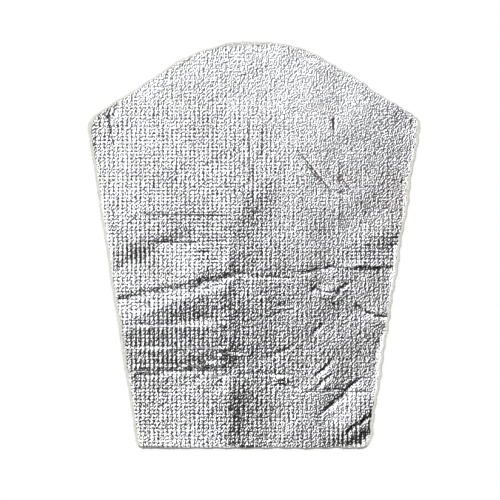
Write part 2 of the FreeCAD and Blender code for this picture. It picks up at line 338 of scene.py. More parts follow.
def lay_folds(x, y):
    """Height of all the folds together, in millimetres above the resting foil."""
    height = billows(x, y, BILLOWS, BILLOW_SEED)
    for route, rise, left, right in RIDGES:
        height = height + fold(x, y, route, rise, left, right)
    for route, rise, left, right in STEPS:
        height = height + fold(x, y, route, rise, left, right, fade=STEP_FADE, power=1.0)
    for route, depth, left, right in GROOVES:
        height = height - fold(x, y, route, depth, left, right)
    for middle, reach, rise in BLISTERS:
        away = np.hypot((x - spot(*middle)[0]) / reach[0], (y - spot(*middle)[1]) / reach[1])
        height = height + rise * np.maximum(0, 1 - away**2) ** 1.5
    for row in SLOPES:
        height = height + lean(x, y, *row)
    return height


tried = lay_folds(*np.meshgrid(np.arange(-60, 61, 2.0), np.arange(-90, 91, 2.0)))
print("the folds lie between", round(float(tried.min()), 2), "and", round(float(tried.max()), 2), "mm")

# %% [markdown]
# ## A sheet that follows the threads
# Both layers are finely woven, so their meshes have their rows and columns along the threads: one line of
# points in every valley and a few over every crest. A remesh would blur those lines. The grid is trimmed at
# the outline, its last points slide out to the cut, and rings of points round the edge close the sheet.

# %% Thread grid
WARP_PITCH = 2.25
WEFT_PITCH = 1.8
ACROSS_WARP = (0.0, 0.15, 0.5, 0.85)
ALONG_WEFT = (0.0, 0.22, 0.78)


def thread_lines(limit, pitch, places):
    """Positions of the mesh lines from -limit to limit, at the same places in every thread."""
    count = int(limit / pitch) + 1
    return np.array([(k + place) * pitch for k in range(-count, count) for place in places])


X_LINES = thread_lines(86, WARP_PITCH, ACROSS_WARP)
Y_LINES = thread_lines(104, WEFT_PITCH, ALONG_WEFT)
print(len(X_LINES), "lines across and", len(Y_LINES), "lines up the sheet")

# %% Trimming
TRIM_SPARE = 0.22


def trim(edge):
    """Keeps the quads inside an edge and slides the border points onto it."""
    x, y = (grid.ravel() for grid in np.meshgrid(X_LINES, Y_LINES))
    columns = len(X_LINES)
    kept = edge(x, y)[0] < TRIM_SPARE
    lower = (np.arange(len(Y_LINES) - 1)[:, None] * columns + np.arange(columns - 1)).ravel()
    quads = np.stack((lower, lower + 1, lower + columns + 1, lower + columns), axis=1)
    quads = quads[kept[quads].all(axis=1)]
    used, quads = np.unique(quads, return_inverse=True)
    quads = quads.reshape(-1, 4)
    x, y = x[used], y[used]
    sides = {(int(a), int(b)) for k in range(4) for a, b in zip(quads[:, k], quads[:, (k + 1) % 4])}
    following = {a: b for a, b in sides if (b, a) not in sides}
    loop = [min(following)]
    while following[loop[-1]] != loop[0]:
        loop.append(following[loop[-1]])
    border = np.array(loop)
    distance, out_x, out_y = edge(x[border], y[border])
    x[border] -= distance * out_x
    y[border] -= distance * out_y
    return x, y, quads, border, out_x, out_y


# %% Closing a sheet
def closed_sheet(name, sheet, height, rings, downwards):
    """A mesh from a trimmed sheet, closed by rings of (way out, height) and a last flat face."""
    x, y, quads, border, out_x, out_y = sheet
    points = [np.stack((x, y, height), axis=1)]
    faces = quads.tolist()
    loop = border
    count = len(x)
    for way_out, level in rings:
        ring = np.arange(count, count + len(border))
        ring_x = x[border] + out_x * way_out
        ring_y = y[border] + out_y * way_out
        points.append(np.stack((ring_x, ring_y, np.broadcast_to(level, out_x.shape)), axis=1))
        after, ring_after = np.roll(loop, -1), np.roll(ring, -1)
        faces.extend(np.stack((after, loop, ring, ring_after), axis=1).tolist())
        loop, count = ring, count + len(border)
    faces.append(loop[::-1].tolist())
    if downwards:
        faces = [face[::-1] for face in faces]
    mesh = bpy.data.meshes.new(name)
    mesh.from_pydata((np.concatenate(points) * MM).tolist(), [], faces)
    mesh.validate()
    piece = bpy.data.objects.new(name, mesh)
    bpy.context.collection.objects.link(piece)
    print(name, "has", len(mesh.vertices), "points and", len(mesh.polygons), "faces")
    return piece


def keep_value(piece, name, values):
    """Stores one number per point, and zero on the rings, for the nodes to read."""
    full = np.zeros(len(piece.data.vertices))
    full[: len(values)] = values
    piece.data.attributes.new(name, "FLOAT", "POINT").data.foreach_set("value", full)


# %% [markdown]
# ## Sums as Python
# Node trees are easier to read as formulas. One small class stands for a socket: sums on it add Math nodes,
# and its method `add` makes any other node, also for the shortcuts at its end. It serves the geometry trees
# and the finishes alike.


# %% A socket that does sums
class Wire:
    """A node socket, or a bare tree to start from."""

    def __init__(self, tree, socket=None):
        self.tree = tree
        self.socket = socket

    def add(self, kind, settings=None, sockets=None, output=0):
        """Makes a node: its settings first, then the values or links of its sockets."""
        made = self.tree.nodes.new(kind)
        for name, value in (settings or {}).items():
            setattr(made, name, value)
        for name, value in (sockets or {}).items():
            if isinstance(value, Wire):
                self.tree.links.new(value.socket, made.inputs[name])
            else:
                made.inputs[name].default_value = value
        return Wire(self.tree, made.outputs[output]) if len(made.outputs) else Wire(self.tree)

    def beside(self, name):
        """Another output of the same node."""
        return Wire(self.tree, self.socket.node.outputs[name])

    def sum(self, operation, *values):
        return self.add("ShaderNodeMath", {"operation": operation}, dict(enumerate(values)))

    def __add__(self, other):
        return self.sum("ADD", self, other)

    def __sub__(self, other):
        return self.sum("SUBTRACT", self, other)

    def __rsub__(self, other):
        return self.sum("SUBTRACT", other, self)

    def __mul__(self, other):
        return self.sum("MULTIPLY", self, other)

    def __truediv__(self, other):
        return self.sum("DIVIDE", self, other)

    def __rtruediv__(self, other):
        return self.sum("DIVIDE", other, self)

    def __pow__(self, other):
        return self.sum("POWER", self, other)

    __radd__ = __add__
    __rmul__ = __mul__

    def most(self, other):
        return self.sum("MAXIMUM", self, other)

    def least(self, other):
        return self.sum("MINIMUM", self, other)

    def steps(self, low, high, first=0.0, last=1.0):
        """A smooth rise from first to last between low and high."""
        sockets = {"Value": self, 1: low, 2: high, 3: first, 4: last}
        return self.add("ShaderNodeMapRange", {"interpolation_type": "SMOOTHSTEP"}, sockets)

    def between(self, first, last):
        """A colour that goes from first to last as this value goes from 0 to 1."""
        return self.add("ShaderNodeMix", {"data_type": "RGBA"}, {0: self, 6: first, 7: last}, 2)

    def noise(self, scale, detail):
        """Soft noise at a place, about 0.5 on average."""
        return self.add("ShaderNodeTexNoise", None, {"Vector": self, "Scale": scale, "Detail": detail})


print("Wire knows", [name for name in vars(Wire) if not name.startswith("__")])

# %% [markdown]
# ## The weave
# In a plain weave each thread goes over one crossing thread and under the next. The print of it in the foil
# is a field of small pillows, with sharp valleys where the foil was pressed down between the threads. An
# array of modelled threads would be far too heavy, and a bump map would give flat meshes, so a Geometry
# Nodes tree moves the points of the thread grid: the round tops of the two threads at each place add up,
# and a pit is taken away where both are low.


# %% Starting and ending a tree
def new_tree(name, sizes):
    """An empty geometry tree with a geometry socket each way and the named sizes as inputs."""
    tree = bpy.data.node_groups.new(name, "GeometryNodeTree")
    tree.interface.new_socket("Geometry", in_out="INPUT", socket_type="NodeSocketGeometry")
    for size in sizes:
        kind = "NodeSocketMaterial" if size == "Finish" else "NodeSocketFloat"
        tree.interface.new_socket(size, in_out="INPUT", socket_type=kind)
    tree.interface.new_socket("Geometry", in_out="OUTPUT", socket_type="NodeSocketGeometry")
    return tree


def end_tree(geometry, finish):
    """Realize Instances and Set Material, so that a plain mesh in one finish comes out."""
    plain = geometry.add("GeometryNodeRealizeInstances", None, {"Geometry": geometry})
    dressed = plain.add("GeometryNodeSetMaterial", None, {"Geometry": plain, "Material": finish})
    dressed.add("NodeGroupOutput", None, {"Geometry": dressed})


# %% Threads across and along
# The nudge keeps a point on a valley line in the thread that starts there.
NUDGE = 0.0005


def cell_of(place, pitch):
    """The number of the thread at a place, and the share across it from -0.5 to 0.5."""
    run = place / pitch + NUDGE
    number = run.sum("FLOOR", run)
    return number, run - number - 0.5


def round_over(share, flatness):
    """The round top of a thread: 1 on its crest and 0 in the valleys."""
    return (1 - share.sum("ABSOLUTE", share * 2) ** flatness).most(0) ** 0.5


WEAVE_SIZES = (
    "Warp Pitch",
    "Weft Pitch",
    "Warp Height",
    "Weft Height",
    "Crossing",
    "Pit",
    "Flatness",
    "Peak",
    "Run",
    "Unevenness",
    "Tilt",
    "Crumple Size",
    "Crumple Tilt",
    "Side",
    "Floor",
    "Seed",
    "Finish",
)
weave_tree = new_tree("weave", WEAVE_SIZES)
given = Wire(weave_tree).add("NodeGroupInput", None, None, "Geometry")
size = {name: given.beside(name) for name in WEAVE_SIZES}
place = given.add("GeometryNodeInputPosition")
split = given.add("ShaderNodeSeparateXYZ", None, {0: place})
x_place, y_place = split, split.beside("Y")
warp_number, warp_share = cell_of(x_place, size["Warp Pitch"])
weft_number, weft_share = cell_of(y_place, size["Weft Pitch"])
crossing = warp_number + weft_number
over = 1 - 2 * crossing.sum("FLOORED_MODULO", crossing, 2)
warp_wave = over * split.sum("COSINE", weft_share * pi)
weft_wave = over * split.sum("COSINE", warp_share * pi)
print("the weave tree takes", len(WEAVE_SIZES), "inputs")

# %% Depth of each thread's print
# Neighbouring threads are this far apart in the noise.
APART = 3.7


def stored(name):
    """A number kept on the points of the sheet."""
    return given.add("GeometryNodeInputNamedAttribute", {"data_type": "FLOAT"}, {"Name": name})


def thread_depth(number, along):
    """How deep one thread prints, which drifts along it and differs from its neighbours."""
    stretched_place = {0: along / size["Run"], 1: number * APART, 2: size["Seed"]}
    run = given.add("ShaderNodeCombineXYZ", None, stretched_place)
    return run.noise(1.0, 1.0).steps(0.3, 0.7, 0.6, 1.4)


cell = given.add("ShaderNodeCombineXYZ", None, {0: warp_number, 1: weft_number, 2: size["Seed"]})
chance = given.add("ShaderNodeTexWhiteNoise", {"noise_dimensions": "3D"}, {"Vector": cell}, "Value")
drawn = given.add("ShaderNodeSeparateXYZ", None, {0: chance.beside("Color")})
warp_press = stored("warp_press")
weft_press = stored("weft_press")
creased = stored("creased")
warp_depth = warp_press * thread_depth(warp_number, y_place)
weft_depth = weft_press * thread_depth(weft_number, x_place)
warp_round = round_over(warp_share, size["Flatness"] - size["Peak"] * (warp_press - 0.3).most(0))
weft_round = round_over(weft_share, size["Flatness"])
warp_top = size["Warp Height"] * warp_depth * warp_round
weft_top = size["Weft Height"] * weft_depth * weft_round
pit = size["Pit"] * (1 - warp_round) * (1 - weft_round) * weft_press
thread_top = warp_top + weft_top - pit + size["Crossing"] * warp_wave * weft_wave * over * warp_press
thread_top = thread_top * (1 + size["Unevenness"] * (chance - 0.5))
print("each thread prints to its own depth")

# %% Crumples, and raising the points
leaning = warp_share * size["Warp Pitch"] * (drawn - 0.5)
leaning = leaning + weft_share * size["Weft Pitch"] * (drawn.beside("Y") - 0.5)
facet = given.add(
    "ShaderNodeTexVoronoi",
    {"voronoi_dimensions": "3D"},
    {"Vector": place, "Scale": 1 / size["Crumple Size"], "Randomness": 1.0},
    "Color",
)
facet_middle = facet.add("ShaderNodeSeparateXYZ", None, {0: facet.beside("Position")})
facet_draw = facet.add("ShaderNodeSeparateXYZ", None, {0: facet})
facet_lean = (x_place - facet_middle) * (facet_draw - 0.5)
facet_lean = facet_lean + (y_place - facet_middle.beside("Y")) * (facet_draw.beside("Y") - 0.5)
rise = thread_top + (leaning * size["Tilt"] + facet_lean * size["Crumple Tilt"]) * creased
height_there = split.beside("Z") + rise * size["Side"]
held_up = height_there.most(size["Floor"])
moving = warp_press.sum("GREATER_THAN", warp_press, 0.0001)
shift = given.add("ShaderNodeCombineXYZ", None, {2: (held_up - split.beside("Z")) * moving})
moved = given.add("GeometryNodeSetPosition", None, {"Geometry": given, "Offset": shift})
end_tree(moved, size["Finish"])
print("weave tree:", len(weave_tree.nodes), "nodes")

# %% [markdown]
# ## From a tree to a piece
# A tree could stay on its piece as a live modifier, but a finished piece is a plain mesh here, so the result
# is taken over as one. Smooth faces with sharp valleys then give the foil its pressed look.


# %% Making a tree's result a plain mesh
def run_tree(piece, tree, values):
    """Sets the tree's inputs by identifier, takes its result as a plain mesh and drops the modifier."""
    modifier = piece.modifiers.new(tree.name, "NODES")
    modifier.node_group = tree
    for socket in tree.interface.items_tree:
        if socket.in_out == "INPUT" and socket.name in values:
            modifier[socket.identifier] = values[socket.name]
    evaluated = piece.evaluated_get(bpy.context.evaluated_depsgraph_get())
    plain = bpy.data.meshes.new_from_object(evaluated)
    piece.modifiers.remove(modifier)
    old = piece.data
    piece.data = plain
    bpy.data.meshes.remove(old)
    plain.name = piece.name
    return plain


def shade(mesh, sharp_angle):
    """Smooth faces, with sharp edges where two faces meet at more than an angle."""
    mesh.polygons.foreach_set("use_smooth", np.ones(len(mesh.polygons), dtype=bool))
    mesh.set_sharp_from_angle(angle=radians(sharp_angle))
    top = max(vertex.co.z for vertex in mesh.vertices) / MM
    low = min(vertex.co.z for vertex in mesh.vertices) / MM
    print(mesh.name, "lies between", round(low, 2), "and", round(top, 2), "mm")


# %% [markdown]
# ## The foil's finish
# Aluminium foil is a mirror with a fine rolled grain, broken up by crinkles far smaller than the weave. The
# relief does most of the work, so the material is a plain metal whose roughness drifts from rubbed to
# bright. The crinkles could be mesh, but they are too many and too small, so a fine bump gives them.

# %% Bright metal and crinkles
foil_finish = bpy.data.materials.new("bright_foil")
foil_finish.use_nodes = True
foil_finish.node_tree.nodes.clear()
foil = Wire(foil_finish.node_tree)
BRIGHT_METAL = (0.93, 0.93, 0.935, 1)
RUBBED_METAL = (0.84, 0.83, 0.825, 1)
CRINKLE_HEIGHT = 0.29 * MM
where = foil.add("ShaderNodeTexCoord", None, None, "Object")
flat_place = foil.add("ShaderNodeSeparateXYZ", None, {0: where})
flat_up = flat_place.beside("Y")
dulled = where.noise(45.0, 3.0).steps(0.42, 0.66)
speck = where.noise(900.0, 2.0)
stretched = foil.add("ShaderNodeMapping", None, {"Vector": where, "Scale": (1300.0, 1150.0, 1000.0)})
crinkle = stretched.noise(1.0, 0.5) * flat_place.steps(-0.07, 0.05, 1.45, 0.88)
bump = foil.add("ShaderNodeBump", None, {"Strength": 1.0, "Distance": CRINKLE_HEIGHT, "Height": crinkle})
tone = dulled.between(BRIGHT_METAL, RUBBED_METAL)
print("metal and crinkles:", len(foil_finish.node_tree.nodes), "nodes")

# %% [markdown]
# ## Painted shade, grit and rust
# The pits between the threads and the deep valleys are darkened in colour as painted shade, fine grit lies
# all over, and a few specks by the right edge are rust brown. They could be painted by hand, but the pit
# shade follows the weave, so its mask is worked out from the thread grid and from how deep the threads print
# at each place.

# %% Painted shade in the pits and valleys
GRIT_GREY = (0.22, 0.21, 0.25, 1)
PIT_SHADE_DARK = (0.05, 0.048, 0.047, 1)
RUST_BROWN = (0.5, 0.3, 0.2, 1)
weft_print = foil.add("ShaderNodeAttribute", {"attribute_name": "weft_press"}, None, "Fac")
warp_print = foil.add("ShaderNodeAttribute", {"attribute_name": "warp_press"}, None, "Fac")
across = flat_place.sum("PINGPONG", flat_place, WARP_PITCH * MM / 2) / (0.5 * MM)
upwards = flat_place.sum("PINGPONG", flat_up, WEFT_PITCH * MM / 2) / (0.5 * MM)
patchy = where.noise(420.0, 1.0).steps(0.36, 0.6, 0.5, 1.3)
# Painted shade: the pits where the threads cross and the warp valleys are darkened in colour.
dots = (across * across + upwards * upwards).steps(1.0, 0.5) * weft_print.least(0.75) * patchy
lines = across.steps(1.2, 0.4) * (warp_print - 0.3).most(0) * 1.25
pit_shade = (dots * 2.6 + lines).least(0.97)
grit = where.noise(1800.0, 0.5).steps(0.52, 0.62) * flat_place.steps(-0.05, 0.03, 0.4, 0.7)
rust = speck.steps(0.55, 0.68) * flat_place.steps(0.046, 0.064) * 0.45
rust = rust * flat_up.steps(-0.004, 0.006) * flat_up.steps(0.046, 0.032)
for share, colour in ((grit, GRIT_GREY), (pit_shade, PIT_SHADE_DARK), (rust, RUST_BROWN)):
    tone = share.between(tone, colour)
print("with soil, grit and rust:", len(foil_finish.node_tree.nodes), "nodes")

# %% [markdown]
# ## Scratches and painted crease shadows
# Fine brown scratches run up the foil, their grooves darkened with painted shade, and where it is folded
# onto itself a groove ends in a thin dark line of painted shadow, finer than the mesh can hold. Each is
# straight or nearly so, so the shader works out the distance from a line between two places, and the
# strongest of all the lines shows.

# %% Thin lines and scratches
LINE_FADE = 4.0
SCRATCH_AND_SHADE_BROWN = (0.14, 0.08, 0.06, 1)


def thin_line(start, end, width):
    """1 along a straight line between two places, and 0 beside it."""
    (first_x, first_y), (last_x, last_y) = spot(*start), spot(*end)
    run = hypot(last_x - first_x, last_y - first_y)
    way_x, way_y = (last_x - first_x) / run, (last_y - first_y) / run
    from_x = flat_place - first_x * MM
    from_y = flat_up - first_y * MM
    along = from_x * way_x + from_y * way_y
    aside = from_x * way_y - from_y * way_x
    near = aside.sum("ABSOLUTE", aside).steps(width * MM, 0.3 * width * MM)
    fade = min(LINE_FADE, 0.3 * run)
    return near * along.steps(0.0, fade * MM) * along.steps(run * MM, (run - fade) * MM)


def strongest(rows):
    """The strongest of many lines at each place."""
    best = thin_line(*rows[0])
    for row in rows[1:]:
        best = best.most(thin_line(*row))
    return best


# Each row is the two ends of a line and its width.
SCRATCH_AND_SHADE_LINES = (
    ((249.7, 118), (249.7, 186), 0.36),
    ((262.8, 108), (262.8, 158), 0.3),
    ((252.8, 163), (253.2, 224), 0.5),
    ((300, 153), (331, 191), 0.5),
    ((303, 161), (322, 184), 0.4),
    ((333.8, 114), (333.8, 137), 0.5),
    ((337.0, 168), (337.0, 206), 0.3),
    ((338, 174), (353, 193), 0.4),
)
# Painted shade: the scratches lie in grooves, and their dark brown is partly the grooves' shade painted in.
tone = (strongest(SCRATCH_AND_SHADE_LINES) * 0.8).between(tone, SCRATCH_AND_SHADE_BROWN)
print(len(SCRATCH_AND_SHADE_LINES), "scratches")

# %% Painted shadows along the sharp creases
CREASE_SHADOW_DARK = (0.04, 0.04, 0.05, 1)
CREASE_SHADOW_LINES = (
    ((326, 267.5), (353, 267), 0.59),
    ((352, 267), (372, 266), 1.05),
    ((371, 267), (394, 267.5), 0.7),
    ((286, 271.5), (326, 271), 0.48),
    ((312, 291), (316, 287.5), 0.7),
    ((315, 287.5), (323, 291), 0.77),
    ((322, 291), (334, 293), 0.63),
    ((337, 296), (341, 289), 0.7),
    ((341, 289.5), (345, 285), 0.7),
    ((320, 297), (329, 302), 0.56),
    ((328, 302), (339, 305), 0.56),
    ((354, 303), (363, 309), 0.7),
    ((362, 309), (373, 315.5), 0.7),
    ((371, 316), (387, 316.5), 0.77),
    ((316, 374), (332, 361), 0.7),
    ((339, 397), (347, 388.5), 0.7),
    ((346, 389), (359, 378.5), 0.7),
    ((324, 412), (340, 397.5), 0.42),
    ((300, 391.4), (376, 391.4), 0.42),
    ((278, 382.5), (289, 386), 0.77),
    ((344, 432), (357, 422), 0.7),
    ((356, 422), (375, 415), 0.7),
    ((152, 242), (199, 242), 0.7),
    ((197, 241.5), (230, 239.3), 0.42),
    ((195, 251), (213, 251), 0.49),
    ((140, 214), (232, 215), 0.42),
    ((185, 287), (200, 286), 0.84),
)
# Specks of bright foil break the painted crease shadows up.
sharp = strongest(CREASE_SHADOW_LINES) * speck.steps(0.36, 0.5, 0.45, 0.95)
tone = sharp.between(tone, CREASE_SHADOW_DARK)
print(len(CREASE_SHADOW_LINES), "sharp creases")

# %% Foil shader
roughness = 0.04 + 0.05 * dulled + 0.03 * speck.steps(0.45, 0.7)
foil_look = {"Base Color": tone, "Metallic": 1.0, "Roughness": roughness, "Normal": bump}
foil_shader = foil.add("ShaderNodeBsdfPrincipled", None, foil_look)
foil.add("ShaderNodeOutputMaterial", None, {"Surface": foil_shader})
print("foil finish:", len(foil_finish.node_tree.nodes), "nodes")

# %% [markdown]
# ## The cloth's finish
# Glass cloth is off-white and silky. Each thread is a flat bundle of fibres, so it is streaked along its
# length, darker down in the gaps of the back with painted shade, and greyer along the base with painted
# shade.
# The threads run two ways, so two stretched noises are laid over each other, and the gaps are found by their
# height above the floor.

# %% Cloth material
cloth_finish = bpy.data.materials.new("glass_cloth")
cloth_finish.use_nodes = True
cloth_finish.node_tree.nodes.clear()
cloth = Wire(cloth_finish.node_tree)
THREAD_SHADE = (0.55, 0.54, 0.49, 1)
THREAD_LIGHT = (0.76, 0.75, 0.71, 1)
SOILED_GLASS = (0.56, 0.54, 0.48, 1)
GAP_SHADE = (0.2, 0.19, 0.165, 1)
BASE_EDGE_SHADE = (0.24, 0.245, 0.21, 1)
where = cloth.add("ShaderNodeTexCoord", None, None, "Object")
streak_map = cloth.add("ShaderNodeMapping", None, {"Vector": where, "Scale": (5200.0, 700.0, 2500.0)})
cross_map = cloth.add("ShaderNodeMapping", None, {"Vector": where, "Scale": (700.0, 5200.0, 2500.0)})
fibres = streak_map.noise(1.0, 3.0) * 0.5 + cross_map.noise(1.0, 3.0) * 0.5
place = cloth.add("ShaderNodeSeparateXYZ", None, {0: where})
height = place.beside("Z")
soiled = where.noise(70.0, 4.0).steps(0.52, 0.78) * 0.45
# Painted shade: the gaps between the threads of the back, and a thin band low on the rim side, are darkened
# in colour.
gaps = height.steps(0.1 * MM, 0.42 * MM) * height.steps(1.0 * MM, 0.7 * MM) * 0.8
# Painted shade: the cloth along the base edge, which faces away from the light, is greyer in colour.
base_edge_shade = place.beside("Y").steps(-0.0995, -0.1012) * 0.85
cloth_tone = fibres.steps(0.36, 0.62).between(THREAD_SHADE, THREAD_LIGHT)
for share, colour in ((soiled, SOILED_GLASS), (gaps, GAP_SHADE), (base_edge_shade, BASE_EDGE_SHADE)):
    cloth_tone = share.between(cloth_tone, colour)
bump = cloth.add("ShaderNodeBump", None, {"Strength": 0.6, "Distance": 0.2 * MM, "Height": fibres})
cloth_look = {"Base Color": cloth_tone, "Roughness": 0.5 + 0.25 * fibres, "Normal": bump}
cloth_shader = cloth.add("ShaderNodeBsdfPrincipled", None, cloth_look)
cloth.add("ShaderNodeOutputMaterial", None, {"Surface": cloth_shader})
print("cloth finish:", len(cloth_finish.node_tree.nodes), "nodes")

# %% [markdown]
# ## The foil face
# The foil lies on the cloth and stops a little short of the cut. It is pressed deepest between the threads
# on the lower left, where the sheet was bent, and it bridges them on the right, where crumpling hides the
# weave. Over a few crests it is drawn taut. One depth for the whole sheet would look printed by a machine,
# so the depth is kept as a number on every point, and the weave tree reads it.

# %% Foil sheet
FOIL_LEVEL = 1.85
FOIL_LOW = 0.9
EDGE_LEVEL = 1.8


def foil_cut(x, y):
    """Distance outside the wavering edge of the foil, and the way out."""
    distance, out_x, out_y = foil_edge(x, y)
    return distance + waver(x, y, 0.55), out_x, out_y


foil_grid = trim(foil_cut)
foil_x, foil_y = foil_grid[:2]
inside = -foil_cut(foil_x, foil_y)[0]
settled = np.clip(inside / 0.7, 0, 1)
foil_height = FOIL_LEVEL + lay_folds(foil_x, foil_y) * (0.5 + 0.5 * settled)
inwards = np.clip(inside / 5.0, 0, 1)
foil_height = np.maximum(foil_height, EDGE_LEVEL - (EDGE_LEVEL - FOIL_LOW) * inwards)
foil_rings = ((0.04, CLOTH_TOP + 0.08), (0.0, CLOTH_TOP - 0.05), (-2.0, FOIL_LOW - 0.05))
foil_face = closed_sheet("foil_sheet", foil_grid, foil_height, foil_rings, False)

# %% How deep the threads print
# Each row is a spot of the sheet, its reach across and up, and how much is added there.
BAR_SPOTS = (((148, 345), (11, 15), 1.0), ((190, 324), (16, 12), 1.0), ((170, 360), (22, 6), 0.7))
WARP_SPOTS = (
    ((180, 412), (30, 18), 0.12),
    ((135, 255), (12, 6), 0.9),
    ((352, 438), (15, 6), 0.9),
    ((352, 404), (10, 8), 0.25),
)
WEFT_SPOTS = (
    ((180, 412), (30, 18), 0.25),
    ((205, 237), (20, 10), 0.9),
    ((382, 247), (13, 7), 0.8),
    ((182, 440), (26, 9), -0.35),
)
CREASED_SPOTS = (((178, 436), (28, 10), 0.5), ((208, 384), (16, 8), 0.8))


def spots(rows):
    """The spots of a table added up over the foil, each fading away from its middle."""
    total = np.zeros(len(foil_x))
    for middle, reach, share in rows:
        away_x = (foil_x - spot(*middle)[0]) / reach[0]
        away_y = (foil_y - spot(*middle)[1]) / reach[1]
        total = total + share * np.exp(-(np.hypot(away_x, away_y) ** 2))
    return total


rightwards = np.clip((foil_x + 25) / 60, 0, 1)
crown = np.clip((foil_y - 40) / 40, 0, 1)
upper = np.clip((foil_y + 10) / 50, 0, 1)
bars = np.clip(spots(BAR_SPOTS), 0, 1)
warp_press = 0.22 * (1 - (0.68 + 0.2 * upper) * rightwards) * (1 - 0.7 * crown)
warp_press = warp_press + 0.72 * bars + spots(WARP_SPOTS)
weft_press = (0.68 - (0.46 + 0.1 * upper) * rightwards) * (1 - 0.72 * crown) * (1 + 0.15 * bars)
weft_press = weft_press + spots(WEFT_SPOTS)
creased = (1.1 - 0.7 * rightwards) * (1 - 0.4 * crown) + spots(CREASED_SPOTS)
print("deepest print of warp and weft:", np.round((warp_press.max(), weft_press.max()), 2))

# %% Taut crests
# Over these crests the foil is drawn taut: the threads hardly print, and little painted shade lies in the
# pits.
TAUT_CRESTS = (
    ((120, 325.5), (165, 325.5), (219, 325)),
    ((188, 320.5), (204, 319.5), (219, 318.5)),
    ((122, 348), (150, 348), (172, 348.5)),
    ((173, 352), (205, 351.5), (246, 353)),
    ((126, 357), (146, 357), (163, 356.5)),
    ((129, 376), (141, 371), (163, 371)),
)
TAUT_WIDTH = 1.2
taut = np.zeros(len(foil_x))
for route in TAUT_CRESTS:
    crest = fold(foil_x, foil_y, route, 1.0, TAUT_WIDTH, TAUT_WIDTH, fade=0.06, power=0.6)
    taut = np.maximum(taut, crest)
from_edge = np.clip(inside / 2.0, 0, 1)
keep_value(foil_face, "warp_press", warp_press * (1 - 0.9 * taut) * (0.4 + 0.6 * from_edge))
keep_value(foil_face, "weft_press", weft_press * (1 - 0.7 * taut) * (0.4 + 0.6 * from_edge))
keep_value(foil_face, "creased", creased * from_edge)
print(len(TAUT_CRESTS), "taut crests")

# %% Weave of the foil
foil_weave = {
    "Warp Pitch": WARP_PITCH * MM,
    "Weft Pitch": WEFT_PITCH * MM,
    "Warp Height": 0.2 * MM,
    "Weft Height": 0.1 * MM,
    "Crossing": 0.03 * MM,
    "Pit": 0.5 * MM,
    "Flatness": 2.6,
    "Peak": 2.1,
    "Run": 8 * MM,
    "Unevenness": 0.6,
    "Tilt": 0.12,
    "Crumple Size": 3.0 * MM,
    "Crumple Tilt": 0.05,
    "Side": 1.0,
    "Floor": FOIL_LOW * MM,
    "Seed": 4.0,
    "Finish": foil_finish,
}
shade(run_tree(foil_face, weave_tree, foil_weave), 28)

# %% [markdown]
# ## The cloth
# The cloth is the whole of the back and the pale rim round the foil. A plain slab would do from above, but
# the sheet can be seen from any side, so its back is the same weave without the foil, with the crests of
# the threads resting on the floor, and rings of points make its cut edge soft and rounded.

# %% Cloth piece
RIM = 0.9
BACK_RELIEF = 0.34
RIM_RINGS = (
    (0.32, 0.1),
    (0.62, 0.32),
    (0.82, 0.65),
    (0.9, 1.0),
    (0.82, 1.35),
    (0.6, 1.62),
    (0.25, 1.76),
    (-0.3, 1.78),
    (-1.2, CLOTH_TOP + 0.02),
    (-3.4, FOIL_LOW - 0.1),
)


def cloth_cut(x, y):
    """Distance outside the flat back of the cloth, inside its rounded rim, and the way out."""
    distance, out_x, out_y = cut_edge(x, y)
    return distance + RIM + waver(x, y, 0.5), out_x, out_y


back_grid = trim(cloth_cut)
back_x, back_y, _, back_border, back_out_x, back_out_y = back_grid
back_height = np.full(len(back_x), BACK_RELIEF)
glass_cloth = closed_sheet("glass_cloth_sheet", back_grid, back_height, RIM_RINGS, True)
back_press = np.ones(len(back_x))
back_press[back_border] = 0
keep_value(glass_cloth, "warp_press", back_press)
keep_value(glass_cloth, "weft_press", back_press)
keep_value(glass_cloth, "creased", np.zeros(len(back_press)))

# %% Weave of the back
back_weave = dict(foil_weave)
back_weave.update(
    {
        "Warp Height": 0.3 * MM,
        "Weft Height": 0.27 * MM,
        "Crossing": 0.1 * MM,
        "Pit": 0.3 * MM,
        "Flatness": 2.2,
        "Peak": 0.0,
        "Unevenness": 0.12,
        "Tilt": 0.06,
        "Crumple Tilt": 0.0,
        "Side": -1.0,
        "Floor": 0.0,
        "Seed": 9.0,
        "Finish": cloth_finish,
    }
)
shade(run_tree(glass_cloth, weave_tree, back_weave), 50)

# %% [markdown]
# ## Thread ends
# Where the cloth is cut, each thread ends in a small tuft of fibres. There are some hundreds of them, all
# alike in kind and none quite alike. Placed by hand they would take hours, so a tree sets one low tuft at
# every thread along the rim and varies it.

# %% Thread-end tree
TUFT_SIZES = ("Spacing", "Radius", "Length", "Variation", "Seed", "Finish")
tuft_tree = new_tree("thread_ends", TUFT_SIZES)
given = Wire(tuft_tree).add("NodeGroupInput", None, None, "Geometry")
size = {name: given.beside(name) for name in TUFT_SIZES}
rim_line = given.add("GeometryNodeMeshToCurve", None, {"Mesh": given})
spaced = {"Curve": rim_line, "Length": size["Spacing"]}
stops = given.add("GeometryNodeResampleCurve", {"mode": "LENGTH"}, spaced)
points = given.add("GeometryNodeCurveToPoints", {"mode": "EVALUATED"}, {"Curve": stops}, "Points")
tuft_ball = {"Segments": 7, "Rings": 5, "Radius": size["Radius"]}
tuft = given.add("GeometryNodeMeshUVSphere", None, tuft_ball, "Mesh")
low = 1 - size["Variation"]
high = 1 + size["Variation"]
stretch = given.add(
    "FunctionNodeRandomValue", {"data_type": "FLOAT"}, {2: low, 3: high, "Seed": size["Seed"]}, 1
)
plump = given.add(
    "FunctionNodeRandomValue", {"data_type": "FLOAT"}, {2: low, 3: high, "Seed": size["Seed"] + 1}, 1
)
long_way = stretch * size["Length"] / size["Radius"]
scale = given.add("ShaderNodeCombineXYZ", None, {0: plump, 1: long_way, 2: plump * 0.8})
turn = points.beside("Rotation")
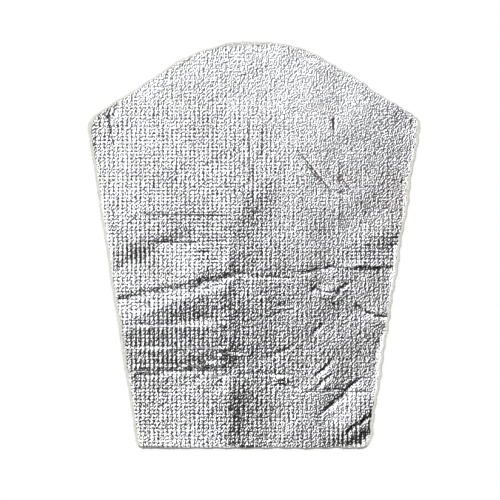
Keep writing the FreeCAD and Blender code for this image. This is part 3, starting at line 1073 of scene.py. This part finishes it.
tufts = given.add(
    "GeometryNodeInstanceOnPoints",
    None,
    {"Points": points, "Instance": tuft, "Rotation": turn, "Scale": scale},
)
end_tree(tufts, size["Finish"])
print("thread-end tree:", len(tuft_tree.nodes), "nodes")

# %% Thread-end piece
TUFT_OUT = 0.42
TUFT_LEVEL = 1.05
rim_x = back_x[back_border] + back_out_x * TUFT_OUT
rim_y = back_y[back_border] + back_out_y * TUFT_OUT
rim_points = np.stack((rim_x, rim_y, np.full(len(back_border), TUFT_LEVEL)), axis=1)
rim_edges = [(k, (k + 1) % len(rim_points)) for k in range(len(rim_points))]
rim_mesh = bpy.data.meshes.new("thread_ends")
rim_mesh.from_pydata((rim_points * MM).tolist(), rim_edges, [])
thread_ends = bpy.data.objects.new("thread_ends", rim_mesh)
bpy.context.collection.objects.link(thread_ends)
tuft_values = {
    "Spacing": 1.9 * MM,
    "Radius": 0.62 * MM,
    "Length": 0.8 * MM,
    "Variation": 0.22,
    "Seed": 3.0,
    "Finish": cloth_finish,
}
shade(run_tree(thread_ends, tuft_tree, tuft_values), 180)
print("thread ends:", len(thread_ends.data.polygons), "faces")

# %% [markdown]
# ## Light, floor and camera
# The sheet is seen from straight above on white. Foil shows what stands round it, so the sky does the work:
# it is bright up and to the left, falls off smoothly to the right, and has a grey band low all round, which
# keeps the foil silver when it is seen from the side. Two soft lamps light only the cloth and the floor,
# because a lamp that the foil could see would burn white spots into it.

# %% World
world = bpy.data.worlds.new("studio")
bpy.context.scene.world = world
world.use_nodes = True
world.node_tree.nodes.clear()
sky = Wire(world.node_tree)
way = sky.add("ShaderNodeTexCoord", None, None, "Generated")
up = sky.add("ShaderNodeSeparateXYZ", None, {0: way})
up_share = up.beside("Z")
DARK_SKY = 0.04
BRIGHT_SKY = 1.79
LOW_BAND = 0.5
WHITE = (1.0, 1.0, 1.0, 1)
COOL_WHITE = (0.945, 0.97, 1.0, 1)
WARM_WHITE = (1.0, 0.94, 0.9, 1)
lit_side = up.beside("Y") * 0.75 - up
soft_light = lit_side.steps(-0.215, 0.25)
high_up = up_share.steps(sin(radians(18)), sin(radians(52)))
low_down = up_share.steps(sin(radians(34)), sin(radians(12)))
level = DARK_SKY + BRIGHT_SKY * soft_light * high_up + LOW_BAND * low_down
sky_tint = up.beside("Y").steps(0.0, 0.3).between(WHITE, COOL_WHITE)
tint = up.steps(0.02, 0.5).between(sky_tint, WARM_WHITE)
light = sky.add("ShaderNodeBackground", None, {"Color": tint, "Strength": level})
sky.add("ShaderNodeOutputWorld", None, {"Surface": light})
print("world:", len(world.node_tree.nodes), "nodes")


# %% Lamps
def sun(name, toward, strength, width):
    """A distant lamp, with the way to it, its strength and how wide it looks in degrees."""
    data = bpy.data.lights.new(name, "SUN")
    data.energy = strength
    data.angle = radians(width)
    lamp = bpy.data.objects.new(name, data)
    bpy.context.collection.objects.link(lamp)
    lamp.rotation_euler = Vector(toward).to_track_quat("Z", "Y").to_euler()
    lamp.visible_glossy = False
    return lamp


sun("key_light", (-0.2, 0.25, 0.95), 1.0, 14)
sun("fill_light", (0.3, 0.6, 0.75), 0.4, 20)
print("two soft lamps")

# %% Floor
FLOOR = 3.0
floor_corners = [(-FLOOR, -FLOOR, 0), (FLOOR, -FLOOR, 0), (FLOOR, FLOOR, 0), (-FLOOR, FLOOR, 0)]
floor_mesh = bpy.data.meshes.new("floor")
floor_mesh.from_pydata(floor_corners, [], [(0, 1, 2, 3)])
floor = bpy.data.objects.new("floor", floor_mesh)
bpy.context.collection.objects.link(floor)
floor_finish = bpy.data.materials.new("white_floor")
floor_finish.use_nodes = True
floor_finish.node_tree.nodes.clear()
ground = Wire(floor_finish.node_tree)
path = ground.add("ShaderNodeLightPath", None, None, "Is Camera Ray")
seen = path.most(path.beside("Is Glossy Ray")).most(path.beside("Is Transmission Ray"))
plain_floor = ground.add("ShaderNodeBsdfDiffuse", None, {"Color": (0.98, 0.98, 0.98, 1)})
white_floor = ground.add("ShaderNodeEmission", None, {"Color": (1, 1, 1, 1), "Strength": 1.0})
floor_mix = ground.add("ShaderNodeMixShader", None, {0: seen * 0.86, 1: plain_floor, 2: white_floor})
ground.add("ShaderNodeOutputMaterial", None, {"Surface": floor_mix})
floor_mesh.materials.append(floor_finish)
print("floor:", 2 * FLOOR, "m wide")

# %% Camera
camera_data = bpy.data.cameras.new("camera")
camera = bpy.data.objects.new("camera", camera_data)
bpy.context.collection.objects.link(camera)
EYE_HEIGHT = 0.9
PICTURE_WIDTH = 0.25
SENSOR = 36.0
camera_data.sensor_width = SENSOR
camera_data.lens = SENSOR * (EYE_HEIGHT - 2 * MM) / PICTURE_WIDTH
camera.location = (spot(250, 250)[0] * MM, spot(250, 250)[1] * MM, EYE_HEIGHT)
camera_data.clip_end = 20
bpy.context.scene.camera = camera
bpy.context.scene.view_settings.view_transform = "Standard"
print("lens", round(camera_data.lens, 1), "mm at", tuple(round(v, 4) for v in camera.location))

# %% [markdown]
# ## Into the frame
# The three pieces ride on the one body. The cloth is a sheet that lies where it was put, and the foil and
# the thread ends go with it.

# %% Hand over to the frame
for piece in (foil_face, glass_cloth, thread_ends):
    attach(piece, "root")
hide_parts("foil_face")
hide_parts("glass_cloth")
